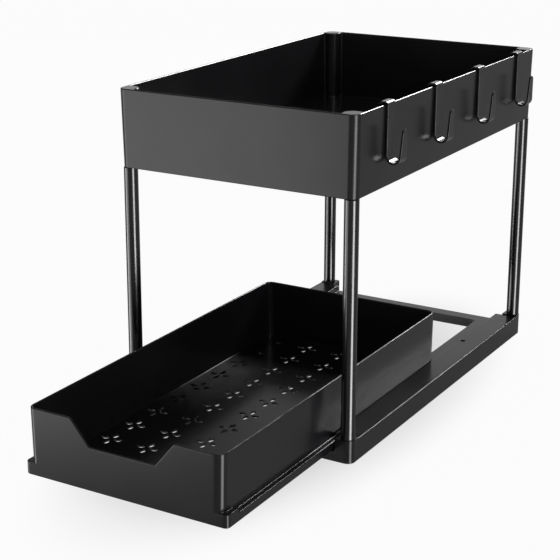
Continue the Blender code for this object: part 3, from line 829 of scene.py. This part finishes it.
def stage(settings):
    """A pale floor, a white surround, soft lamps and the camera."""
    scene = bpy.context.scene
    scene.view_settings.view_transform = "Standard"
    camera_data = bpy.data.cameras.new("camera")
    camera = linked("camera", camera_data)
    camera.matrix_world = (
        Matrix.Translation(np.array(settings.camera_place) + (*MIDDLE, 0))
        @ Matrix.Rotation(settings.yaw, 4, "Z")
        @ Matrix.Rotation(math.pi / 2 - settings.pitch, 4, "X")
        @ Matrix.Rotation(settings.roll, 4, "Z")
    )
    camera_data.lens = settings.lens
    camera_data.sensor_width = 36
    camera_data.shift_x, camera_data.shift_y = settings.shift
    camera_data.clip_start, camera_data.clip_end = 0.05, 50
    scene.camera = camera

    sweep(settings)
    pale_floor(settings)
    lit = {name: bpy.data.collections.new(f"lit_{name}") for name in GROUPS}
    for obj in scene.objects:
        if obj.type == "MESH" and obj.name != "floor":
            for name, starts in GROUPS.items():
                if obj.name.startswith(starts):
                    lit[name].objects.link(obj)
    for name, place, aim, width, height, group in LAMPS:
        made = lamp(name, place, aim, width, height, getattr(settings, name))
        if group in lit:
            made.light_linking.receiver_collection = lit[group]
            made.light_linking.blocker_collection = lit["pieces"]


def sweep(settings):
    """The surround: a pale sweep that fades into a dim ceiling between 3 and 17 degrees above the horizon.

    The map runs over the height of the ray's unit direction, the sine of those angles. The camera sees plain white
    all round, and gloss mirrors the sweep and the ceiling.
    """
    world = bpy.data.worlds.new("studio")
    bpy.context.scene.world = world
    world.use_nodes = True
    tree = world.node_tree
    tree.nodes.clear()
    direction = add(tree, "TexCoord").outputs["Generated"]
    height = add(tree, "SeparateXYZ", {"Vector": direction}).outputs["Z"]
    strength = mapped(tree, height, 0.05, 0.30, settings.sweep, settings.ceiling, interpolation_type="SMOOTHSTEP")
    gradient = add(tree, "Background", {"Color": (1, 1, 1, 1), "Strength": strength})
    white = add(tree, "Background", {"Color": (1, 1, 1, 1), "Strength": BACKDROP})
    path = add(tree, "LightPath")
    shown = combined(tree, "MAXIMUM", path.outputs["Is Camera Ray"], path.outputs["Is Transmission Ray"])
    both = add(tree, "MixShader", {0: shown, 1: gradient.outputs[0], 2: white.outputs[0]})
    add(tree, "OutputWorld", {"Surface": both.outputs[0]})


def pale_floor(settings):
    """A plain white floor that keeps the object's shadow and is clear from below.

    For the rays that show it, part of it is plain white of strength 1: nearly all of it round the object, and the
    settings' glow in an oval below the object, of half axes 0.13 m and 0.30 m, where the shadow lies. The one fades
    into the other from 0.7 to 1.3 of those axes. Gloss mirrors the settings' share of that white.
    """
    material = bpy.data.materials.new("white_studio_paper")
    material.use_nodes = True
    tree = material.node_tree
    tree.nodes.clear()
    path = add(tree, "LightPath")
    matt = add(tree, "BsdfDiffuse", {"Color": linear("#f4f4f4")})
    glow = add(tree, "Emission", {"Color": (1, 1, 1, 1), "Strength": 1.0})
    seen = combined(tree, "MULTIPLY", path.outputs["Is Glossy Ray"], settings.mirrored)
    for kind in ("Is Camera Ray", "Is Transmission Ray"):
        seen = combined(tree, "MAXIMUM", seen, path.outputs[kind])
    place = add(tree, "TexCoord").outputs["Object"]
    oval = add(tree, "VectorMath", {0: place, 1: (1 / 0.13, 1 / 0.30, 0)}, operation="MULTIPLY")
    away = add(tree, "VectorMath", {0: oval.outputs["Vector"]}, operation="LENGTH").outputs["Value"]
    white = mapped(tree, away, 0.7, 1.3, settings.glow, BACKDROP, interpolation_type="SMOOTHSTEP")
    share = combined(tree, "MULTIPLY", seen, white)
    lit = add(tree, "MixShader", {0: share, 1: matt.outputs[0], 2: glow.outputs[0]})
    below = add(tree, "NewGeometry").outputs["Backfacing"]
    clear = add(tree, "BsdfTransparent")
    both = add(tree, "MixShader", {0: below, 1: lit.outputs[0], 2: clear.outputs[0]})
    add(tree, "OutputMaterial", {"Surface": both.outputs[0]})
    reach = 12.0  # half the floor's width
    mesh = bpy.data.meshes.new("floor")
    corners = [(-reach, -reach, 0), (reach, -reach, 0), (reach, reach, 0), (-reach, reach, 0)]
    mesh.from_pydata(corners, [], [(0, 1, 2, 3)])
    mesh.materials.append(material)
    linked("floor", mesh)


def lamp(name, place, aim, width, height, power):
    """A soft rectangular lamp that faces a point. The camera doesn't see it."""
    data = bpy.data.lights.new(name, "AREA")
    data.shape = "RECTANGLE"
    data.size, data.size_y, data.energy = width, height, power
    obj = linked(name, data)
    back = np.array(place, float) - np.array(aim, float)
    back /= np.linalg.norm(back)
    side = np.cross((0, 0, 1), back)
    side /= np.linalg.norm(side)
    matrix = np.eye(4)
    matrix[:3, 0], matrix[:3, 1], matrix[:3, 2], matrix[:3, 3] = side, np.cross(back, side), back, place
    obj.matrix_world = Matrix(matrix.tolist())
    obj.visible_camera = False
    return obj


# Settings that a user would change


def number(description, default, **settings):
    return bpy.props.FloatProperty(description=description, default=default, **settings)


def metres(description, default):
    return number(description, default, unit="LENGTH")


def watts(description, default):
    return number(description, default, unit="POWER")


def hex_colour(description, hex_code):
    return bpy.props.FloatVectorProperty(
        description=description, default=linear(hex_code), size=4, min=0, max=1, subtype="COLOR"
    )


class ShelfSizes(bpy.types.PropertyGroup):
    wall: metres("Wall and floor of the mouldings", 0.002)
    edge_radius: metres("Radius on the mouldings' edges", 0.0006)
    rim_radius: metres("Radius on the edges of the walls' rims", 0.0009)
    draft: number("How much the walls lean, per metre", 0.0165)
    tray_height: metres("Height of the tray's walls", 0.0725)
    tray_radius: metres("Radius of the tray's upright corners", 0.008)
    column: metres("Diameter of the columns in the tray's corners", 0.0186)
    drawer_radius: metres("Radius of the drawer's upright corners", 0.008)
    drawer_half_width: metres("Half the drawer's box at its underside", 0.0957)
    band_height: metres("Height of the drawer's runner band", 0.0077)
    band_radius: metres("Corner radius of the runner band", 0.0045)
    groove_depth: metres("Depth of the groove under each runner", 0.0059)
    ear_height: metres("Height of the drawer's front ears", 0.0115)
    ear_length: metres("Length of the drawer's front ears", 0.0165)
    notch_top: metres("Width of the front notch at the rim", 0.103)
    notch_bottom: metres("Width of the front notch at its foot", 0.066)
    notch_depth: metres("Depth of the front notch", 0.0225)
    clover_pitch_x: metres("Distance between clovers across", 0.039)
    clover_pitch_y: metres("Distance between clovers along", 0.036)
    petal_length: metres("Length of one oval hole", 0.0086)
    petal_width: metres("Width of one oval hole", 0.0044)
    petal_offset: metres("From a clover's middle to a petal's", 0.0068)
    hook_width: metres("Width of a hook's strap", 0.014)
    hook_tip: metres("Width of a hook at its tip", 0.0075)
    hook_thickness: metres("Thickness of a hook's strip", 0.002)
    hook_mouth: metres("Room between a hook's legs over the rim", 0.0051)
    hook_inner_leg: metres("How far a hook reaches down inside", 0.012)
    hook_drop: metres("From the rim to a hook's lowest point", 0.0517)
    hook_reach: metres("Room inside a hook's bend", 0.0104)
    hook_leg: metres("Height of a hook's outer leg", 0.024)


class ShelfColours(bpy.types.PropertyGroup):
    frame: hex_colour("Colour of the base frame's plastic", "#111113")
    tray: hex_colour("Colour of the tray's plastic", "#111113")
    drawer: hex_colour("Colour of the drawer's plastic", "#111113")
    hook: hex_colour("Colour of the hooks' plastic", "#111113")
    tube: hex_colour("Colour of the posts' enamel", "#050505")
    pad: hex_colour("Colour of the pads' rubber", "#3a3a3c")


class StudioSettings(bpy.types.PropertyGroup):
    camera_place: bpy.props.FloatVectorProperty(
        description="Where the camera stands, from the middle of the base",
        default=(0.66164, -1.25999, 0.55560),
        subtype="TRANSLATION",
        unit="LENGTH",
    )
    yaw: number("Turn round the object", 0.5430, unit="ROTATION")
    pitch: number("Downward tilt", 0.2915, unit="ROTATION")
    roll: number("Sideways tilt", -0.0028, unit="ROTATION")
    lens: number("Focal length in mm on a 36 mm sensor", 95.388)
    shift: bpy.props.FloatVectorProperty(
        description="Shift of the picture's middle", default=(0.04610, -0.05681), size=2
    )
    sweep: number("Strength of the white sweep that gloss mirrors", 0.5, min=0)
    ceiling: number("Strength of the ceiling that gloss mirrors", 0.15, min=0)
    glow: number("Share of plain white in the floor below the object", 0.68)
    mirrored: number("Part of the floor's white that gloss mirrors", 0.1)
    panel_left: watts("Power of the panel that stripes the posts' left", 10)
    panel_right: watts("Power of the panel that stripes the posts' right", 25)
    corner_left: watts("Power of the left panel on the mouldings", 5)
    corner_right: watts("Power of the right panel on the mouldings", 19.5)
    front: watts("Power of the lamp that the front faces mirror", 9.4)
    rim_upper: watts("Power of the rear lamp for the tray's rim", 66)
    rim_lower: watts("Power of the rear lamp for the drawer and hooks", 45)
    rim_rail: watts("Power of the rear lamp for the base's edges", 30)
    rear_left: watts("Power of the lamp that upward faces mirror", 1.95)
    top: watts("Power of the lamp above", 5)


def sizes():
    return bpy.context.scene.shelf_sizes


def colours():
    return bpy.context.scene.shelf_colours


class SHELF_OT_base(bpy.types.Operator):
    """Build the base frame that carries the drawer and the posts"""

    bl_idname = "shelf.base"
    bl_label = "Base frame"

    def execute(self, context):
        base(sizes(), frame_polypropylene(colours().frame))
        return {"FINISHED"}


class SHELF_OT_pads(bpy.types.Operator):
    """Build the four foot pads"""

    bl_idname = "shelf.pads"
    bl_label = "Foot pads"

    def execute(self, context):
        pads(foot_rubber(colours().pad))
        return {"FINISHED"}


class SHELF_OT_posts(bpy.types.Operator):
    """Build the four tube posts"""

    bl_idname = "shelf.posts"
    bl_label = "Posts"

    def execute(self, context):
        posts(stoved_tube(colours().tube))
        return {"FINISHED"}


class SHELF_OT_tray(bpy.types.Operator):
    """Build the open upper tray"""

    bl_idname = "shelf.tray"
    bl_label = "Upper tray"

    def execute(self, context):
        upper_tray(sizes(), tray_polypropylene(colours().tray))
        return {"FINISHED"}


class SHELF_OT_drawer(bpy.types.Operator):
    """Build the pull-out drawer with its notch and perforated floor"""

    bl_idname = "shelf.drawer"
    bl_label = "Drawer"

    def execute(self, context):
        drawer(sizes(), drawer_polypropylene(colours().drawer))
        return {"FINISHED"}


class SHELF_OT_hooks(bpy.types.Operator):
    """Build the four hooks on the tray's rim"""

    bl_idname = "shelf.hooks"
    bl_label = "Hooks"

    def execute(self, context):
        hooks(sizes(), hook_polypropylene(colours().hook))
        return {"FINISHED"}


class SHELF_OT_stage(bpy.types.Operator):
    """Set up the floor, the surround, the lamps and the camera"""

    bl_idname = "shelf.stage"
    bl_label = "Studio"

    def execute(self, context):
        stage(context.scene.shelf_studio)
        return {"FINISHED"}


BUILDERS = (
    SHELF_OT_base,
    SHELF_OT_pads,
    SHELF_OT_posts,
    SHELF_OT_tray,
    SHELF_OT_drawer,
    SHELF_OT_hooks,
    SHELF_OT_stage,
)


class SHELF_PT_panel(bpy.types.Panel):
    """Lists the shelf's pieces and its studio"""

    bl_idname = "SHELF_PT_panel"
    bl_label = "Storage shelf"
    bl_space_type = "VIEW_3D"
    bl_region_type = "UI"
    bl_category = "Shelf"

    def draw(self, context):
        for builder in BUILDERS:
            self.layout.operator(builder.bl_idname)
        scene = context.scene
        for group in (scene.shelf_sizes, scene.shelf_colours, scene.shelf_studio):
            column = self.layout.column(align=True)
            for name in group.__annotations__:
                column.prop(group, name, text=name.replace("_", " ").capitalize())


CLASSES = (ShelfSizes, ShelfColours, StudioSettings, *BUILDERS, SHELF_PT_panel)


def register():
    for made in CLASSES:
        bpy.utils.register_class(made)
    bpy.types.Scene.shelf_sizes = bpy.props.PointerProperty(type=ShelfSizes)
    bpy.types.Scene.shelf_colours = bpy.props.PointerProperty(type=ShelfColours)
    bpy.types.Scene.shelf_studio = bpy.props.PointerProperty(type=StudioSettings)


def unregister():
    del bpy.types.Scene.shelf_studio
    del bpy.types.Scene.shelf_colours
    del bpy.types.Scene.shelf_sizes
    for made in reversed(CLASSES):
        bpy.utils.unregister_class(made)


def clear_startup():
    """Removes Blender's own startup cube, lamp and camera."""
    for name in ("Cube", "Light", "Camera"):
        found = bpy.data.objects.get(name)
        if found:
            bpy.data.objects.remove(found, do_unlink=True)


def main():
    register()
    clear_startup()
    bpy.ops.shelf.base()
    bpy.ops.shelf.pads()
    bpy.ops.shelf.posts()
    bpy.ops.shelf.tray()
    bpy.ops.shelf.drawer()
    bpy.ops.shelf.hooks()
    bpy.ops.shelf.stage()


if __name__ == "__main__":
    main()
